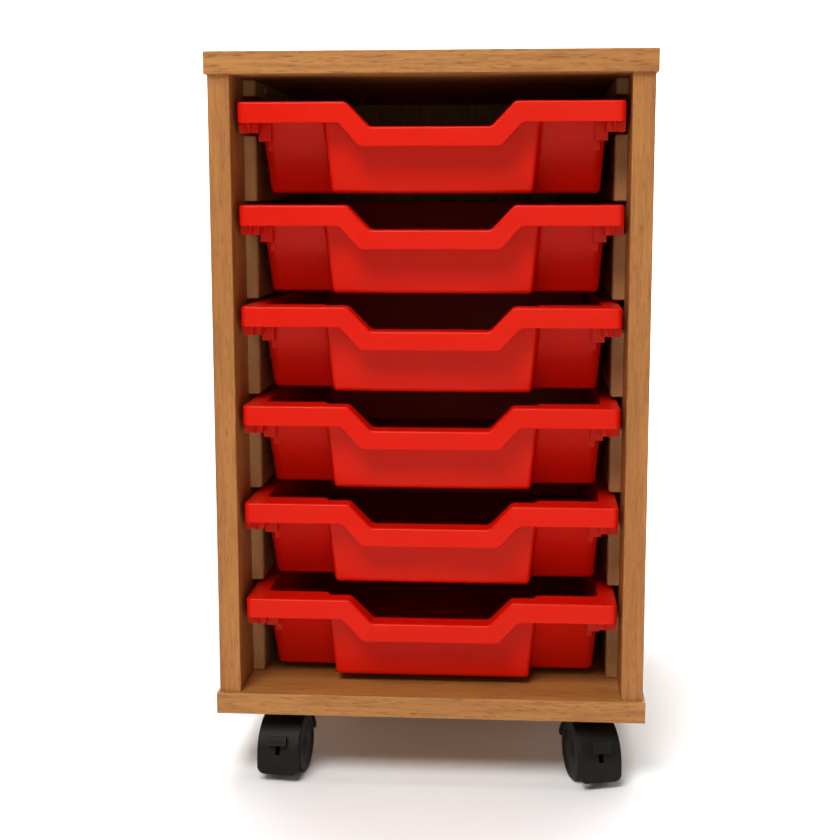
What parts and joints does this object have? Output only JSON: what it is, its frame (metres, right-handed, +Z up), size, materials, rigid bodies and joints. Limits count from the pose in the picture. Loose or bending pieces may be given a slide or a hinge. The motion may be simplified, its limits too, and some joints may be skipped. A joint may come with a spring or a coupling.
{
  "type": "tray storage unit",
  "caption": "Open-fronted wooden classroom storage unit on braked twin-wheel castors, with shallow plastic trays that slide out on wooden side runners.",
  "frame": {"origin": "on the floor, under the middle of the carcass's plan; the front castors, turned forwards, stand out 5 mm past the carcass", "axes": "+Z up; the open front faces -Y; +X is to the right of someone who faces the front"},
  "size_m": [0.36, 0.4593, 0.608],
  "materials": {
    "tray_plastic": "satin gloss red",
    "beech_face": "satin lacquered beech",
    "beech_edge": "satin lacquered beech lipping",
    "beech_back": "satin beech",
    "runner_wood": "smooth matt hardwood",
    "dowel_beech": "raw beech",
    "screw_steel": "zinc plated",
    "castor_steel": "zinc plated",
    "hood_plastic": "fine satin black",
    "wheel_plastic": "satin black",
    "lever_plastic": "satin black"
  },
  "bodies": {
    "cabinet": {"back_panel": "beech_back", "bottom_edge_band": "beech_edge", "bottom_panel": "beech_face", "carcass_dowels": "dowel_beech", "castor_screws": "screw_steel", "left_edge_band": "beech_edge", "left_runner_1": "runner_wood", "left_runner_2": "runner_wood", "left_runner_3": "runner_wood", "left_runner_4": "runner_wood", "left_runner_5": "runner_wood", "left_runner_6": "runner_wood", "left_runner_screws": "screw_steel", "left_side_panel": "beech_face", "left_top_runner": "runner_wood", "right_edge_band": "beech_edge", "right_runner_1": "runner_wood", "right_runner_2": "runner_wood", "right_runner_3": "runner_wood", "right_runner_4": "runner_wood", "right_runner_5": "runner_wood", "right_runner_6": "runner_wood", "right_runner_screws": "screw_steel", "right_side_panel": "beech_face", "right_top_runner": "runner_wood", "top_edge_band": "beech_edge", "top_panel": "beech_face", "front_left_plate": "castor_steel", "front_left_kingpin": "castor_steel", "front_right_plate": "castor_steel", "front_right_kingpin": "castor_steel", "rear_left_plate": "castor_steel", "rear_left_kingpin": "castor_steel", "rear_right_plate": "castor_steel", "rear_right_kingpin": "castor_steel"},
    "tray_1_body": {"tray_1": "tray_plastic"},
    "tray_2_body": {"tray_2": "tray_plastic"},
    "tray_3_body": {"tray_3": "tray_plastic"},
    "tray_4_body": {"tray_4": "tray_plastic"},
    "tray_5_body": {"tray_5": "tray_plastic"},
    "tray_6_body": {"tray_6": "tray_plastic"},
    "front_left_swivel": {"front_left_hood": "hood_plastic", "front_left_axle": "castor_steel"},
    "front_left_left_wheel": {"front_left_wheel_left": "wheel_plastic"},
    "front_left_right_wheel": {"front_left_wheel_right": "wheel_plastic"},
    "front_left_brake": {"front_left_brake_lever": "lever_plastic"},
    "front_right_swivel": {"front_right_hood": "hood_plastic", "front_right_axle": "castor_steel"},
    "front_right_left_wheel": {"front_right_wheel_left": "wheel_plastic"},
    "front_right_right_wheel": {"front_right_wheel_right": "wheel_plastic"},
    "front_right_brake": {"front_right_brake_lever": "lever_plastic"},
    "rear_left_swivel": {"rear_left_hood": "hood_plastic", "rear_left_axle": "castor_steel"},
    "rear_left_left_wheel": {"rear_left_wheel_left": "wheel_plastic"},
    "rear_left_right_wheel": {"rear_left_wheel_right": "wheel_plastic"},
    "rear_right_swivel": {"rear_right_hood": "hood_plastic", "rear_right_axle": "castor_steel"},
    "rear_right_left_wheel": {"rear_right_wheel_left": "wheel_plastic"},
    "rear_right_right_wheel": {"rear_right_wheel_right": "wheel_plastic"}
  },
  "joints": [
    {"name": "tray_1_slide", "type": "slide", "parent": "cabinet", "child": "tray_1_body", "axis": [0, -1, 0], "range_m": [0, 0.445]},
    {"name": "tray_2_slide", "type": "slide", "parent": "cabinet", "child": "tray_2_body", "axis": [0, -1, 0], "range_m": [0, 0.445]},
    {"name": "tray_3_slide", "type": "slide", "parent": "cabinet", "child": "tray_3_body", "axis": [0, -1, 0], "range_m": [0, 0.445]},
    {"name": "tray_4_slide", "type": "slide", "parent": "cabinet", "child": "tray_4_body", "axis": [0, -1, 0], "range_m": [0, 0.445]},
    {"name": "tray_5_slide", "type": "slide", "parent": "cabinet", "child": "tray_5_body", "axis": [0, -1, 0], "range_m": [0, 0.445]},
    {"name": "tray_6_slide", "type": "slide", "parent": "cabinet", "child": "tray_6_body", "axis": [0, -1, 0], "range_m": [0, 0.445]},
    {"name": "front_left_swivel_turn", "type": "hinge", "parent": "cabinet", "child": "front_left_swivel", "pos_m": [-0.1228, -0.1755, 0.0557], "axis": [0, 0, 1], "continuous": true},
    {"name": "front_left_left_wheel_spin", "type": "hinge", "parent": "front_left_swivel", "child": "front_left_left_wheel", "pos_m": [-0.12513, -0.19536, 0.025], "axis": [0.9932, -0.1167, 0], "continuous": true},
    {"name": "front_left_right_wheel_spin", "type": "hinge", "parent": "front_left_swivel", "child": "front_left_right_wheel", "pos_m": [-0.12513, -0.19536, 0.025], "axis": [0.9932, -0.1167, 0], "continuous": true},
    {"name": "front_left_brake_press", "type": "hinge", "parent": "front_left_swivel", "child": "front_left_brake", "pos_m": [-0.12513, -0.19536, 0.025], "axis": [0.9932, -0.1167, 0], "range_deg": [0, 14]},
    {"name": "front_right_swivel_turn", "type": "hinge", "parent": "cabinet", "child": "front_right_swivel", "pos_m": [0.13, -0.1755, 0.0557], "axis": [0, 0, 1], "continuous": true},
    {"name": "front_right_left_wheel_spin", "type": "hinge", "parent": "front_right_swivel", "child": "front_right_left_wheel", "pos_m": [0.13558, -0.19471, 0.025], "axis": [0.9603, 0.279, 0], "continuous": true},
    {"name": "front_right_right_wheel_spin", "type": "hinge", "parent": "front_right_swivel", "child": "front_right_right_wheel", "pos_m": [0.13558, -0.19471, 0.025], "axis": [0.9603, 0.279, 0], "continuous": true},
    {"name": "front_right_brake_press", "type": "hinge", "parent": "front_right_swivel", "child": "front_right_brake", "pos_m": [0.13558, -0.19471, 0.025], "axis": [0.9603, 0.279, 0], "range_deg": [0, 14]},
    {"name": "rear_left_swivel_turn", "type": "hinge", "parent": "cabinet", "child": "rear_left_swivel", "pos_m": [-0.1228, 0.1755, 0.0557], "axis": [0, 0, 1], "continuous": true},
    {"name": "rear_left_left_wheel_spin", "type": "hinge", "parent": "rear_left_swivel", "child": "rear_left_left_wheel", "pos_m": [-0.11864, 0.15594, 0.025], "axis": [0.9781, 0.2079, 0], "continuous": true},
    {"name": "rear_left_right_wheel_spin", "type": "hinge", "parent": "rear_left_swivel", "child": "rear_left_right_wheel", "pos_m": [-0.11864, 0.15594, 0.025], "axis": [0.9781, 0.2079, 0], "continuous": true},
    {"name": "rear_right_swivel_turn", "type": "hinge", "parent": "cabinet", "child": "rear_right_swivel", "pos_m": [0.13, 0.1755, 0.0557], "axis": [0, 0, 1], "continuous": true},
    {"name": "rear_right_left_wheel_spin", "type": "hinge", "parent": "rear_right_swivel", "child": "rear_right_left_wheel", "pos_m": [0.12449, 0.15627, 0.025], "axis": [0.9613, -0.2756, 0], "continuous": true},
    {"name": "rear_right_right_wheel_spin", "type": "hinge", "parent": "rear_right_swivel", "child": "rear_right_right_wheel", "pos_m": [0.12449, 0.15627, 0.025], "axis": [0.9613, -0.2756, 0], "continuous": true}
  ]
}
